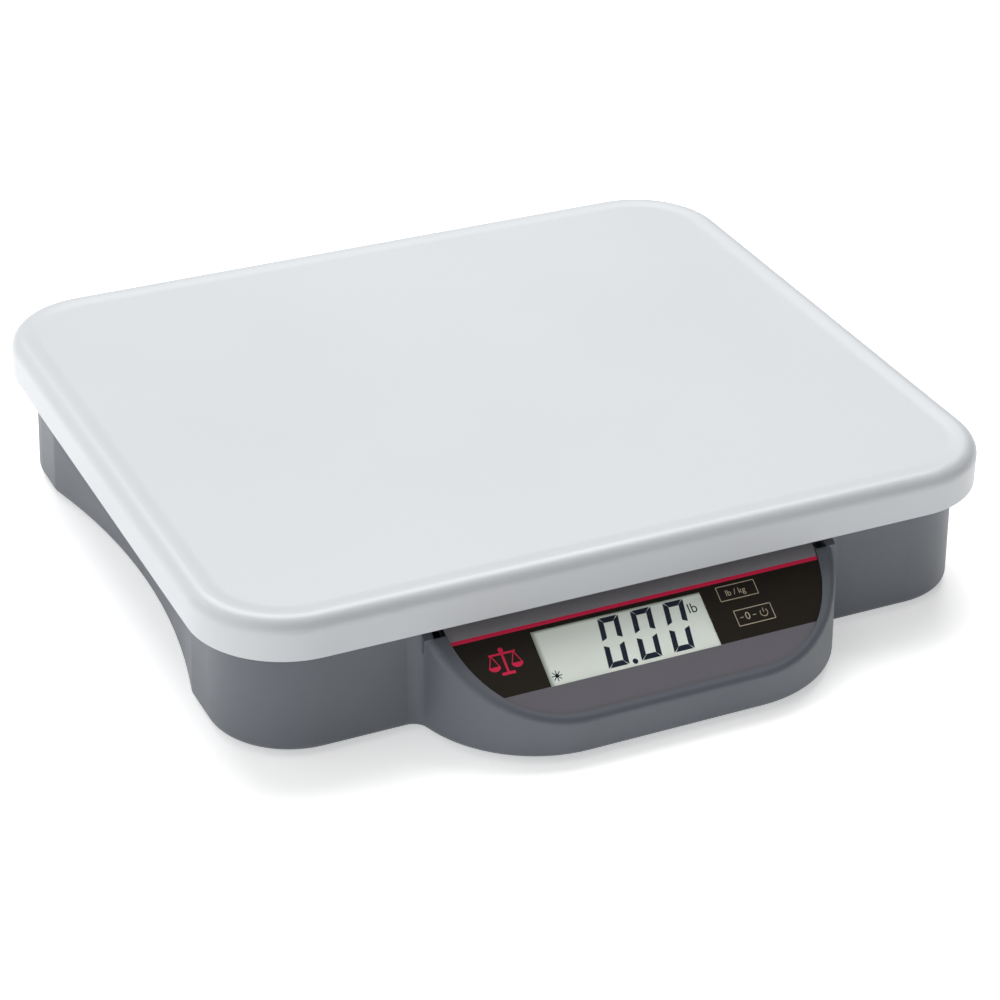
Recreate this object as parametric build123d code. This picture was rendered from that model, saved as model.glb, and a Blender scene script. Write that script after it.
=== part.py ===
from build123d import *
import math
import os

# A low-profile electronic bench scale. Millimetres, +X to the user's right, +Y to the back, +Z up,
# z = 0 on the bench. Everything is drawn about the platform's centre, and save() shifts it in Y so that
# the origin is under the middle of the whole scale.

# ---------------------------------------------------------------- overall sizes
PLATFORM_WIDTH = 320.0
PLATFORM_DEPTH = 275.8
PLATFORM_CORNER = 36.9
OVERALL_HEIGHT = 61.5
FOOT_DROP = 2.7  # how far the feet lift the base off the bench

# ---------------------------------------------------------------- lift-off platform cover
SKIRT_HEIGHT = 16.1
COVER_WALL = 3.0
COVER_EDGE_FILLET = 5.3
DISH_DEPTH = 0.5  # the weighing surface lies this far below the rounded rim
DISH_RIM = 5.4  # rim width, from the side to where the dish starts
DISH_SLOPE = 6.6  # width of the soft slope down to the flat
COVER_RIB = 2.0
COVER_RIB_DROP = 4.0
PAD_SOCKET_WALL = 2.2
PAD_SOCKET_DROP = 5.0
PAD_SOCKET_CLEARANCE = 0.3

# ---------------------------------------------------------------- base housing
BASE_INSET_SIDE = 7.2  # platform side to base side, at the bottom
BASE_INSET_FRONT = 6.3
BASE_INSET_BACK = 8.9
BASE_CORNER = 31.8
BASE_DRAFT = 1.3  # degrees
BASE_WALL = 2.8
BASE_FLOOR = 2.5
BASE_FOOT_FILLET = 2.2
SKIRT_COVERS = -1.9  # the base stops this far below the skirt's lower edge (negative is below)
WAIST_DEPTH = 10.5
WAIST_HALF_LENGTH = 81.0
WAIST_BLEND = 8.0

# ---------------------------------------------------------------- display pod and its sloping panel
POD_REACH = 40.6  # how far the pod stands out of the base front
POD_CORNER = 50.0
POD_BLEND = 5.5
PANEL_TILT = 32.85  # degrees from level
PANEL_BELOW_SKIRT = 7.9  # from the skirt's lower edge down to the panel's reference line
PANEL_AHEAD = 0.9  # from the platform front forward to the panel's reference line
RIM_STANDS = 0.6
RIM_FILLET = 3.0
PANEL_WIDTH = 151.2
POD_RIM = 9.8  # panel side to pod side, at the bottom
POD_WIDTH = PANEL_WIDTH + 2 * POD_RIM
PANEL_CORNER = 38.0
PANEL_SETBACK = 3.2  # pod front to panel front edge, in plan
PANEL_GAP = 0.15
LEDGE_WIDTH = 3.0
LEDGE_THICK = 2.4
NOTCH_WIDTH = 4.7
NOTCH_RIM = 1.4  # the rim left outside the first cut, so that its edge can be rounded past the notch
NOTCH_CUT = POD_RIM - NOTCH_RIM
NOTCH_LENGTH = 5.2
NOTCH_DEPTH = 9.0

# ---------------------------------------------------------------- display stack, as depths under the panel
FILM_THICK = 0.3
BEZEL_THICK = 2.2
GASKET_THICK = 0.3
GLASS_THICK = 1.1
BACKLIGHT_THICK = 3.3
BOARD_GAP = 0.2
BOARD_THICK = 1.6
WINDOW_MARGIN_LEFT = 30.8  # panel side to window
WINDOW_MARGIN_RIGHT = 51.5
WINDOW_X = (WINDOW_MARGIN_LEFT - PANEL_WIDTH / 2, PANEL_WIDTH / 2 - WINDOW_MARGIN_RIGHT)
WINDOW_S = (1.15, 23.5)  # s runs down the slope from the reference line
WINDOW_RECESS = 0.05
WINDOW_THICK = 0.5
LCD_BORDER = 3.2
GASKET_BORDER = 2.8
LCD_LEDGE = 1.5  # strip of the front glass that the rear one leaves free for the pins
LCD_PINS = 16
PIN_PITCH = 2.54
PIN_SIZE = 0.5
CARRIER_WALL = 2.0
CARRIER_GAP = 0.2
BOARD_MARGIN = 15.1  # panel side to board side
BOARD_HALF_WIDTH = PANEL_WIDTH / 2 - BOARD_MARGIN
BOARD_S = (-8.0, 29.0)
BOARD_HOLE_ROWS = ((3.5, -4.0), (7.0, 25.0))  # in from the board's side, and s
BOARD_HOLES = [(side * (BOARD_HALF_WIDTH - inset), s) for inset, s in BOARD_HOLE_ROWS for side in (-1, 1)]
LUG_MARGIN = 9.1  # panel side to lug screw
LUG_S = 5.0
LUG_THICK = 2.0
LUG_ARM = 5.0
LUG_DROP = 3.5  # bezel's underside to lug
BEZEL_LUGS = [(side * (PANEL_WIDTH / 2 - LUG_MARGIN), LUG_S) for side in (-1, 1)]
SMALL_SCREW_R = 1.2
SMALL_HEAD_R = 2.3
SMALL_HEAD = 1.5
BOSS_WALL = 1.5

# ---------------------------------------------------------------- keys
UNITS_KEY_MARGIN = 37.1  # panel side to key's middle
ZERO_KEY_MARGIN = 34.3
UNITS_KEY = (PANEL_WIDTH / 2 - UNITS_KEY_MARGIN, 4.25, 16.2, 6.3)  # x, s, width, length
ZERO_KEY = (PANEL_WIDTH / 2 - ZERO_KEY_MARGIN, 15.0, 15.6, 6.8)
KEY_GAP = 0.15
KEY_THICK = 1.2
SWITCH_SIZE = 6.0
SWITCH_HEIGHT = 3.4
BUTTON_R = 1.7
BUTTON_GAP = 0.1
BUTTON_STANDS = 1.2

# ---------------------------------------------------------------- load cell and frame
BASE_PLATE = (200.0, 60.0, 3.0)
BASE_PLATE_RISE = 4.0
PLATE_BOSS_R = 6.0
PLATE_SCREW_X = 88.0
PLATE_SCREW_Y = 20.0
PLATE_SCREW_R = 1.8
PLATE_HEAD_R = 3.4
PLATE_HEAD = 2.4
CELL_LENGTH = 130.0
CELL_WIDTH = 30.0
CELL_HEIGHT = 22.0
CELL_END = 30.0
CELL_HOLE_R = 7.5
CELL_HOLE_X = 11.0
CELL_SLOT = 3.0
CELL_SCREW_PITCH = 14.0
CELL_SCREW_R = 3.0
CELL_HEAD_R = 5.0
CELL_HEAD = 3.2
CELL_BITE = 11.0
LOWER_SPACER = 3.0
UPPER_SPACER = 2.5
LOAD_PLATE_MARGIN_X = 35.0
LOAD_PLATE_MARGIN_Y = 37.9
LOAD_WEB = 3.5
LOAD_RIB = 4.0
LOAD_CORNER = 14.0
LIGHTENING_R = 14.0
PAD_R = 10.0
PAD_HEIGHT = 7.5
PAD_INSET = 12.0  # from the load plate's edge to the pad's centre
STOP_GAP = 0.8
STOP_INSET = 22.0
STOP_R = 3.0
STOP_BOSS_R = 6.0
STOP_BOSS_TOP = 27.0
STOP_NUT_AF = 10.0
STOP_NUT = 4.0

# ---------------------------------------------------------------- batteries and their door
CELL_C_R = 13.1
CELL_C_LENGTH = 50.0
CELL_C_GAP = 1.8
BATTERY_SIDE_GAP = 0.9
BATTERY_END_GAP = 4.0
BATTERY_FRONT = 36.0
BATTERY_TOP_GAP = 0.3
BATTERY_WALL = 2.0
DOOR_GAP = 0.4
DOOR_KNUCKLE_R = 1.6
DOOR_KNUCKLE = 16.0
DOOR_LUG = 12.0
DOOR_PIN_R = 0.7
DOOR_PIN_GAP = 0.05
DOOR_SIDE_GAP = 0.3
DOOR_GRIPS = 5
GRIP_PITCH = 2.4
GRIP_INSET = 6.0  # compartment front to the first groove
GRIP_HALF_LENGTH = 9.0
GRIP_HALF_WIDTH = 0.5
GRIP_DEPTH = 0.7
TERMINAL_THICK = 0.5
TERMINAL_HALF = 8.0
CONTACT_HALF = 3.0
CELL_CAP = 1.5  # height of a cell's raised cap
CELL_CAP_R = 3.4
CELL_EDGE = 0.8
SPRING_WIRE_R = 0.45
SPRING_R = 4.0
SPRING_TURNS = 3

# ---------------------------------------------------------------- mains adapter inlet, feet, leads
JACK_X = 95.0
JACK_Z = 20.0
JACK_NOSE_R = 4.9
JACK_HOLE_GAP = 0.3
JACK_BORE_R = 3.2
JACK_BORE = 9.5
JACK_PIN_R = 1.0
JACK_BODY = (14.0, 13.0, 11.0)
FOOT_R = 11.0
FOOT_INSET = 27.3
FOOT_STEM_R = 3.0
FOOT_BARB = 0.8
FOOT_EDGE = 0.7
CELL_PLUG_INSET = 18.5  # board side to the plug's middle
BATTERY_PLUG_INSET = 20.5
INLET_PLUG_INSET = 8.5
PLUG_X = (CELL_PLUG_INSET - BOARD_HALF_WIDTH, BOARD_HALF_WIDTH - BATTERY_PLUG_INSET,
          BOARD_HALF_WIDTH - INLET_PLUG_INSET)
PLUG_S = 2.0
PLUG_HEIGHT = 5.5
LEAD_R = 1.6
THIN_LEAD_R = 1.1

# ---------------------------------------------------------------- levels and places from the above
SKIRT_BOTTOM = OVERALL_HEIGHT - SKIRT_HEIGHT
BASE_TOP = SKIRT_BOTTOM + SKIRT_COVERS
FLOOR_TOP = FOOT_DROP + BASE_FLOOR
COVER_UNDER = OVERALL_HEIGHT - COVER_WALL
BASE_HALF_X = PLATFORM_WIDTH / 2 - BASE_INSET_SIDE
BASE_FRONT = -PLATFORM_DEPTH / 2 + BASE_INSET_FRONT
BASE_BACK = PLATFORM_DEPTH / 2 - BASE_INSET_BACK
BASE_MID = (BASE_FRONT + BASE_BACK) / 2
POD_FRONT = BASE_FRONT - POD_REACH
SHIFT_Y = (-POD_FRONT - PLATFORM_DEPTH / 2) / 2
PLATE_BOTTOM = FLOOR_TOP + BASE_PLATE_RISE
PLATE_TOP = PLATE_BOTTOM + BASE_PLATE[2]
CELL_BOTTOM = PLATE_TOP + LOWER_SPACER
CELL_TOP = CELL_BOTTOM + CELL_HEIGHT
LOAD_BOTTOM = CELL_TOP + UPPER_SPACER
LOAD_TOP = COVER_UNDER - PAD_HEIGHT
LOAD_X = PLATFORM_WIDTH / 2 - LOAD_PLATE_MARGIN_X
LOAD_Y = PLATFORM_DEPTH / 2 - LOAD_PLATE_MARGIN_Y
BEZEL_UNDER = FILM_THICK + BEZEL_THICK
GLASS_TOP = FILM_THICK + GASKET_THICK
GLASS_UNDER = GLASS_TOP + 2 * GLASS_THICK
BACKLIGHT_UNDER = GLASS_UNDER + BACKLIGHT_THICK
BOARD_TOP = BACKLIGHT_UNDER + BOARD_GAP
BOARD_UNDER = BOARD_TOP + BOARD_THICK
BATTERY_HALF_X = CELL_C_LENGTH + BATTERY_END_GAP
BATTERY_BACK = BATTERY_FRONT + 4 * CELL_C_R + CELL_C_GAP + 2 * BATTERY_SIDE_GAP
BATTERY_Z = FLOOR_TOP + 0.6 + CELL_C_R
BATTERY_ROOF = BATTERY_Z + CELL_C_R + BATTERY_TOP_GAP
HINGE_Y = BATTERY_BACK - DOOR_KNUCKLE_R - DOOR_SIDE_GAP
HINGE_Z = FOOT_DROP + BASE_FLOOR / 2 + 0.15

PANEL = Plane(
    origin=(0, -PLATFORM_DEPTH / 2 - PANEL_AHEAD, SKIRT_BOTTOM - PANEL_BELOW_SKIRT),
    x_dir=(1, 0, 0),
    z_dir=(0, -math.sin(math.radians(PANEL_TILT)), math.cos(math.radians(PANEL_TILT))),
)
CORNERS = [(-1, -1), (1, -1), (-1, 1), (1, 1)]
BIG = 400.0

os.makedirs("parts", exist_ok=True)


def save(name, *solids):
    """Write one node, shifted so that the origin is under the middle of the scale."""
    moved = [Pos(0, SHIFT_Y, 0) * s for group in solids for s in group.solids()]
    export_step(moved[0] if len(moved) == 1 else Compound(children=moved), f"parts/{name}.step")


def block(x, y, z):
    """A box from three (low, high) pairs."""
    size = [high - low for low, high in (x, y, z)]
    middle = [(low + high) / 2 for low, high in (x, y, z)]
    return Pos(*middle) * Box(*size)


def post(x, y, low, high, radius):
    """An upright cylinder between two heights."""
    return Pos(x, y, (low + high) / 2) * Cylinder(radius, high - low)


def on_panel(x, s, top, under, shape_size=None, radius=None):
    """A block or a cylinder square to the panel, between two depths under it."""
    if radius is not None:
        solid = Cylinder(radius, under - top)
    else:
        solid = Box(shape_size[0], shape_size[1], under - top)
    return PANEL.location * Pos(x, -s, -(top + under) / 2) * solid


def panel_block(x, s, top, under):
    """A block square to the panel from (low, high) pairs along X and down the slope."""
    return on_panel((x[0] + x[1]) / 2, (s[0] + s[1]) / 2, top, under, (x[1] - x[0], s[1] - s[0]))


# ---------------------------------------------------------------- outlines
def pod_shape(width, front, corner):
    """The pod's D in plan: a straight front with two large corners, running back under the platform."""
    length = BASE_FRONT + 2 * POD_CORNER - front
    return Pos(0, front + length / 2) * RectangleRounded(width, length, corner)


def base_outline():
    """The base in plan: a rounded rectangle with a waist in each side, and the pod on its front."""
    body = Pos(0, BASE_MID) * RectangleRounded(2 * BASE_HALF_X, BASE_BACK - BASE_FRONT, BASE_CORNER)
    radius = (WAIST_HALF_LENGTH**2 + WAIST_DEPTH**2) / (2 * WAIST_DEPTH)
    for side in (-1, 1):
        body -= Pos(side * (BASE_HALF_X - WAIST_DEPTH + radius), 0) * Circle(radius)
    kinks = [v for v in body.vertices() if abs(abs(v.Y) - WAIST_HALF_LENGTH) < 1.0]
    body = fillet(kinks, WAIST_BLEND)
    outline = body + pod_shape(POD_WIDTH, POD_FRONT, POD_CORNER)
    joins = [v for v in outline.vertices() if abs(v.Y - BASE_FRONT) < 0.01 and abs(v.X) < POD_WIDTH / 2 + 1]
    return fillet(joins, POD_BLEND)


def panel_prism(inset=0.0):
    """An upright prism through the panel's outline, drawn in by inset."""
    width = PANEL_WIDTH - 2 * inset
    sketch = pod_shape(width, POD_FRONT + PANEL_SETBACK + inset, PANEL_CORNER - inset)
    return extrude(sketch, OVERALL_HEIGHT)


def above_panel(depth):
    """Everything over a plane at this depth under the panel."""
    return PANEL.location * Pos(0, 0, BIG / 2 - depth) * Box(BIG, BIG, BIG)


def panel_layer(top, under, inset=0.0):
    """A plate with the panel's outline between two depths, stopping short under the platform."""
    plate = panel_prism(inset) & panel_block((-BIG / 2, BIG / 2), (-BIG / 2, BIG / 2), top, under)
    return plate & block((-BIG, BIG), (POD_FRONT, BASE_FRONT + POD_BLEND), (0, BASE_TOP - 0.2))


# ---------------------------------------------------------------- housing
def pod_hollow():
    """The room behind the panel: the panel's seat, and a narrower opening through its ledge."""
    seat = panel_prism(-PANEL_GAP) & above_panel(BEZEL_UNDER)
    opening = panel_prism(LEDGE_WIDTH) & above_panel(BEZEL_UNDER + LEDGE_THICK + 1)
    return seat + opening


def shell():
    """The open-topped housing: floor, drafted walls, pod, sloping rim and panel ledge."""
    outline = base_outline()
    height = BASE_TOP - FOOT_DROP
    outer = extrude(Pos(0, 0, FOOT_DROP) * outline, height, taper=BASE_DRAFT)
    outer = fillet(outer.faces().sort_by(Axis.Z)[0].edges(), BASE_FOOT_FILLET)
    outer -= above_panel(-RIM_STANDS)
    inner = offset(outline, -BASE_WALL)
    room = extrude(Pos(0, 0, FLOOR_TOP) * inner, height, taper=BASE_DRAFT)
    ahead = block((-BIG, BIG), (-BIG, BASE_FRONT + BASE_WALL), (0, BIG))
    room -= ahead & above_panel(BEZEL_UNDER + LEDGE_THICK)
    return outer - room - pod_hollow()


def round_rim(body):
    """Round the rim's outer edge, where the sloping top meets the pod's wall."""
    within = panel_prism(-2 * PANEL_GAP)
    edges = []
    for face in body.faces().filter_by(lambda f: f.normal_at().dot(PANEL.z_dir) > 0.999):
        if abs(PANEL.to_local_coords(face.center()).Z - RIM_STANDS) < 0.01:
            edges += [e for e in face.edges() if not within.is_inside(e.position_at(0.5))]
    return fillet([e for e in edges if e.center().Y < BASE_FRONT - 2 * POD_BLEND], RIM_FILLET)


def notch_block(start, end, front, back, top):
    """A block at each top corner of the panel, between two distances out from the panel's side."""
    side_x = PANEL_WIDTH / 2
    return [block(sorted((side * (side_x + start), side * (side_x + end))), (front, back),
                  (BASE_TOP - NOTCH_DEPTH, top)) for side in (-1, 1)]


def corner_notches():
    """The cuts for the small gap at each top corner of the panel, between the rim and the base front."""
    y = BASE_FRONT + BASE_WALL / 2
    return notch_block(0, NOTCH_CUT, y - NOTCH_LENGTH, y + BASE_WALL, OVERALL_HEIGHT)


def notch_fillers():
    """What closes the outer part of each cut again once the rim is rounded."""
    y = BASE_FRONT + BASE_WALL / 2
    blocks = notch_block(NOTCH_WIDTH, NOTCH_CUT, y - NOTCH_LENGTH, BASE_FRONT + BASE_WALL, BASE_TOP)
    return [solid - above_panel(-RIM_STANDS) for solid in blocks]


def battery_box():
    """The walls and roof of the battery compartment, over its opening in the floor."""
    low, high = FOOT_DROP, BATTERY_ROOF
    outer = block((-BATTERY_HALF_X - BATTERY_WALL, BATTERY_HALF_X + BATTERY_WALL),
                  (BATTERY_FRONT - BATTERY_WALL, BATTERY_BACK + BATTERY_WALL), (low, high + BATTERY_WALL))
    inner = block((-BATTERY_HALF_X, BATTERY_HALF_X), (BATTERY_FRONT, BATTERY_BACK), (0, high))
    lug = Pos(0, HINGE_Y, HINGE_Z) * Rot(0, 90, 0) * Cylinder(DOOR_KNUCKLE_R, DOOR_LUG)
    lug += block((-DOOR_LUG / 2, DOOR_LUG / 2), (HINGE_Y, BATTERY_BACK + BATTERY_WALL / 2),
                 (HINGE_Z - DOOR_KNUCKLE_R, HINGE_Z + 2 * DOOR_KNUCKLE_R))
    lug -= Pos(0, HINGE_Y, HINGE_Z) * Rot(0, 90, 0) * Cylinder(DOOR_PIN_R, 2 * DOOR_LUG)
    return outer, inner, lug


def foot_places():
    """The four feet, in from the base's corners."""
    half_y = (BASE_BACK - BASE_FRONT) / 2 - FOOT_INSET
    return [(i * (BASE_HALF_X - FOOT_INSET), BASE_MID + j * half_y) for i, j in CORNERS]


def stop_places():
    """The four overload stops, in from the load plate's corners."""
    return [(i * (LOAD_X - STOP_INSET), j * (LOAD_Y - STOP_INSET)) for i, j in CORNERS]


def bezel_lug(x, s):
    """The eye that a bezel screw passes through, on an arm that reaches to the pod's wall."""
    low = BEZEL_UNDER + LUG_DROP
    reach = POD_WIDTH / 2 - abs(x)
    lug = on_panel(x, s, low, low + LUG_THICK, radius=SMALL_SCREW_R + BOSS_WALL + 1)
    lug += on_panel(x + math.copysign(reach / 2, x), s, low, low + LUG_THICK, (reach, LUG_ARM))
    return lug & extrude(Pos(0, 0, FOOT_DROP) * base_outline(), BASE_TOP - FOOT_DROP, taper=BASE_DRAFT)


def base_housing():
    """The housing with its bosses, battery box, wall openings and holes."""
    body = shell()
    for cut in corner_notches():
        body -= cut
    outer, inner, lug = battery_box()
    body = body + outer - inner + lug
    for i, j in CORNERS:
        x, y = i * PLATE_SCREW_X, j * PLATE_SCREW_Y
        body += post(x, y, FLOOR_TOP - 0.5, PLATE_BOTTOM, PLATE_BOSS_R)
        body -= post(x, y, FLOOR_TOP, PLATE_BOTTOM, PLATE_SCREW_R)
    for x, y in stop_places():
        body += post(x, y, FLOOR_TOP - 0.5, STOP_BOSS_TOP, STOP_BOSS_R)
        body -= post(x, y, FLOOR_TOP + 3, STOP_BOSS_TOP, STOP_R)
    for x, y in foot_places():
        body -= post(x, y, 0, FLOOR_TOP, FOOT_STEM_R)
    for x, s in BEZEL_LUGS:
        body = body + bezel_lug(x, s)
        body -= on_panel(x, s, 0, BEZEL_UNDER + LUG_DROP + 2 * LUG_THICK, radius=SMALL_SCREW_R + 0.2)
    body -= Pos(JACK_X, BASE_BACK, JACK_Z) * Rot(90, 0, 0) * Cylinder(JACK_NOSE_R + JACK_HOLE_GAP, 12)
    for low, high in ((-JACK_BODY[0] / 2 - 2, -JACK_BODY[0] / 2), (JACK_BODY[0] / 2, JACK_BODY[0] / 2 + 2)):
        body += block((JACK_X + low, JACK_X + high), (jack_face() - 9, BASE_BACK - BASE_WALL),
                      (FLOOR_TOP - 0.5, JACK_Z + JACK_BODY[2] / 2))
    body = round_rim(body)
    for filler in notch_fillers():
        body += filler
    return body


# ---------------------------------------------------------------- panel and display
def panel_film():
    """The printed overlay, with its clear window and key openings left open."""
    film = panel_layer(0, FILM_THICK, PANEL_GAP)
    film -= panel_block(WINDOW_X, WINDOW_S, -1, 1)
    for x, s, width, length in (UNITS_KEY, ZERO_KEY):
        film -= on_panel(x, s, -1, 1, (width + 2 * KEY_GAP, length + 2 * KEY_GAP))
    return film


def bezel():
    """The stiff plate under the film: openings for the display and keys, and bosses for the board."""
    plate = panel_layer(FILM_THICK, BEZEL_UNDER)
    plate -= panel_block(*lcd_area(LCD_BORDER + CARRIER_GAP), 0, BEZEL_UNDER + 1)
    for x, s, width, length in (UNITS_KEY, ZERO_KEY):
        plate -= on_panel(x, s, -1, BEZEL_UNDER + 1, (width + 2 * KEY_GAP, length + 2 * KEY_GAP))
    for x, s in BOARD_HOLES:
        plate += on_panel(x, s, BEZEL_UNDER - 0.5, BOARD_TOP, radius=SMALL_SCREW_R + BOSS_WALL)
        plate -= on_panel(x, s, BEZEL_UNDER - 1, BOARD_TOP, radius=SMALL_SCREW_R)
    for x, s in BEZEL_LUGS:
        plate += on_panel(x, s, BEZEL_UNDER - 0.5, BEZEL_UNDER + LUG_DROP, radius=SMALL_SCREW_R + BOSS_WALL)
        plate -= on_panel(x, s, BEZEL_UNDER - 1, BEZEL_UNDER + LUG_DROP, radius=SMALL_SCREW_R)
    return plate


def lcd_area(border):
    """The window's X and slope ranges, grown by a border."""
    return (WINDOW_X[0] - border, WINDOW_X[1] + border), (WINDOW_S[0] - border, WINDOW_S[1] + border)


def display_stack():
    """Window, gasket, the two glasses, backlight and the frame that holds them on the board."""
    area = lcd_area(LCD_BORDER)
    behind = (area[0], (area[1][0] + LCD_LEDGE, area[1][1]))
    save("display_window", panel_block(WINDOW_X, WINDOW_S, WINDOW_RECESS, WINDOW_RECESS + WINDOW_THICK))
    ring = panel_block(*lcd_area(GASKET_BORDER), FILM_THICK, GLASS_TOP)
    save("display_gasket", ring - panel_block(WINDOW_X, WINDOW_S, 0, GLASS_TOP + 1))
    middle = GLASS_TOP + GLASS_THICK
    save("lcd_front_glass", panel_block(*area, GLASS_TOP, middle))
    save("lcd_rear_glass", panel_block(*behind, middle, GLASS_UNDER))
    save("backlight_plate", panel_block(*behind, GLASS_UNDER, BACKLIGHT_UNDER))
    inner = lcd_area(LCD_BORDER + CARRIER_GAP)
    outer = lcd_area(LCD_BORDER + CARRIER_GAP + CARRIER_WALL)
    frame = panel_block(*outer, BEZEL_UNDER, BOARD_TOP) - panel_block(*inner, 0, BOARD_TOP + 1)
    save("lcd_carrier", frame)
    pins = []
    for i in range(LCD_PINS):
        x = (area[0][0] + area[0][1]) / 2 + (i - (LCD_PINS - 1) / 2) * PIN_PITCH
        pins.append(on_panel(x, area[1][0] + LCD_LEDGE / 2, middle, BOARD_UNDER + 0.8, (PIN_SIZE, PIN_SIZE)))
    save("lcd_pins", *pins)


def pin_slot():
    """The slot in the board that the display's pins pass through."""
    area = lcd_area(LCD_BORDER)
    x = (area[0][0] + area[0][1]) / 2
    return on_panel(x, area[1][0] + LCD_LEDGE / 2, BOARD_TOP - 1, BOARD_UNDER + 1,
                    (LCD_PINS * PIN_PITCH, PIN_SIZE))


def main_board():
    """The circuit board, with its screw holes and pin slot."""
    board = panel_block((-BOARD_HALF_WIDTH, BOARD_HALF_WIDTH), BOARD_S, BOARD_TOP, BOARD_UNDER)
    for x, s in BOARD_HOLES:
        board -= on_panel(x, s, 0, BOARD_UNDER + 1, radius=SMALL_SCREW_R + 0.15)
    return board - pin_slot()


def board_parts():
    """Chips, capacitors and the three plugs on the back of the board."""
    face = BOARD_UNDER
    processor = on_panel(-12, 10, face, face + 1.6, (12, 12))
    save("scale_chips", processor, on_panel(12, 12, face, face + 1.5, (6, 9)))
    caps = [on_panel(x, 18, face, face + 4.5, radius=2.5) for x in (24, 31, 38)]
    save("board_capacitors", *caps)
    plugs = [on_panel(x, PLUG_S, face, face + PLUG_HEIGHT, (9, 6)) for x in PLUG_X]
    save("board_plugs", *plugs)


def screw(x, s, head_top, tip):
    """A small screw driven towards the panel from behind."""
    head = on_panel(x, s, head_top, head_top + SMALL_HEAD, radius=SMALL_HEAD_R)
    head -= on_panel(x, s, head_top + SMALL_HEAD * 0.4, head_top + SMALL_HEAD, (2 * SMALL_HEAD_R * 0.7, 0.6))
    head -= on_panel(x, s, head_top + SMALL_HEAD * 0.4, head_top + SMALL_HEAD, (0.6, 2 * SMALL_HEAD_R * 0.7))
    return head + on_panel(x, s, tip, head_top + 0.01, radius=SMALL_SCREW_R)


def keys():
    """Two membrane keys, each a raised pad with a stem on its switch's button."""
    housings = []
    for name, (x, s, width, length) in (("units", UNITS_KEY), ("zero", ZERO_KEY)):
        switch_top = BOARD_TOP - SWITCH_HEIGHT
        button_top = switch_top - BUTTON_STANDS
        pad = on_panel(x, s, 0, KEY_THICK, (width, length))
        pad += on_panel(x, s, KEY_THICK - 0.1, button_top, radius=BUTTON_R * 0.8)
        save(f"{name}_key_pad", pad)
        save(f"{name}_switch_button", on_panel(x, s, button_top, switch_top + 1.2, radius=BUTTON_R))
        case = on_panel(x, s, switch_top, BOARD_TOP, (SWITCH_SIZE, SWITCH_SIZE))
        housings.append(case - on_panel(x, s, 0, BOARD_TOP - 0.8, radius=BUTTON_R + BUTTON_GAP))
    save("key_switches", *housings)


# ---------------------------------------------------------------- load path
def cell_screw_places(side):
    """The two screws at one end of the load cell: -1 is the fixed end, 1 the live end."""
    middle = side * (CELL_LENGTH / 2 - CELL_END / 2)
    return [(middle + i * CELL_SCREW_PITCH / 2, 0) for i in (-1, 1)]


def base_plate():
    """The steel plate that ties the load cell's fixed end to the housing."""
    width, depth, _ = BASE_PLATE
    plate = block((-width / 2, width / 2), (-depth / 2, depth / 2), (PLATE_BOTTOM, PLATE_TOP))
    plate = fillet(plate.edges().filter_by(Axis.Z), 5)
    for i, j in CORNERS:
        plate -= post(i * PLATE_SCREW_X, j * PLATE_SCREW_Y, 0, BIG, PLATE_SCREW_R + 0.25)
    for x, y in cell_screw_places(-1):
        plate -= post(x, y, 0, BIG, CELL_SCREW_R + 0.2)
    return plate


def spacer(side, low, high):
    """The plate between the load cell's end and what it is screwed to."""
    middle = side * (CELL_LENGTH - CELL_END) / 2
    solid = block((middle - CELL_END / 2, middle + CELL_END / 2), (-CELL_WIDTH / 2, CELL_WIDTH / 2),
                  (low, high))
    for x, y in cell_screw_places(side):
        solid -= post(x, y, 0, BIG, CELL_SCREW_R + 0.2)
    return solid


def load_cell():
    """A single-point beam: one bar with the double hole that lets its middle bend."""
    beam = block((-CELL_LENGTH / 2, CELL_LENGTH / 2), (-CELL_WIDTH / 2, CELL_WIDTH / 2),
                 (CELL_BOTTOM, CELL_TOP))
    middle = (CELL_BOTTOM + CELL_TOP) / 2
    for side in (-1, 1):
        beam -= Pos(side * CELL_HOLE_X, 0, middle) * Rot(90, 0, 0) * Cylinder(CELL_HOLE_R, 2 * CELL_WIDTH)
    beam -= Pos(0, 0, middle) * Box(2 * CELL_HOLE_X, 2 * CELL_WIDTH, CELL_SLOT)
    for x, y in cell_screw_places(-1):
        beam -= post(x, y, 0, CELL_BOTTOM + CELL_BITE, CELL_SCREW_R)
    for x, y in cell_screw_places(1):
        beam -= post(x, y, CELL_TOP - CELL_BITE, BIG, CELL_SCREW_R)
    return beam


def strain_gauges():
    """The four foil gauges over the beam's thin places."""
    return [block((side * CELL_HOLE_X - 4, side * CELL_HOLE_X + 4), (-3, 3), level)
            for side in (-1, 1) for level in ((CELL_TOP, CELL_TOP + 0.3), (CELL_BOTTOM - 0.3, CELL_BOTTOM))]


def cap_screws(places, seat, tip, up, radius, head_radius, head):
    """Socket-head screws standing on a seat; up is 1 when the head is above it."""
    screws = []
    for x, y in places:
        head_range = sorted((seat, seat + up * head))
        solid = post(x, y, *head_range, head_radius)
        socket = sorted((seat + up * head * 0.4, seat + up * head))
        hexagon = extrude(Pos(x, y, socket[0]) * RegularPolygon(radius * 0.85, 6), socket[1] - socket[0])
        screws.append(solid - hexagon + post(x, y, *sorted((tip, seat + up * 0.01)), radius))
    return screws


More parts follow.
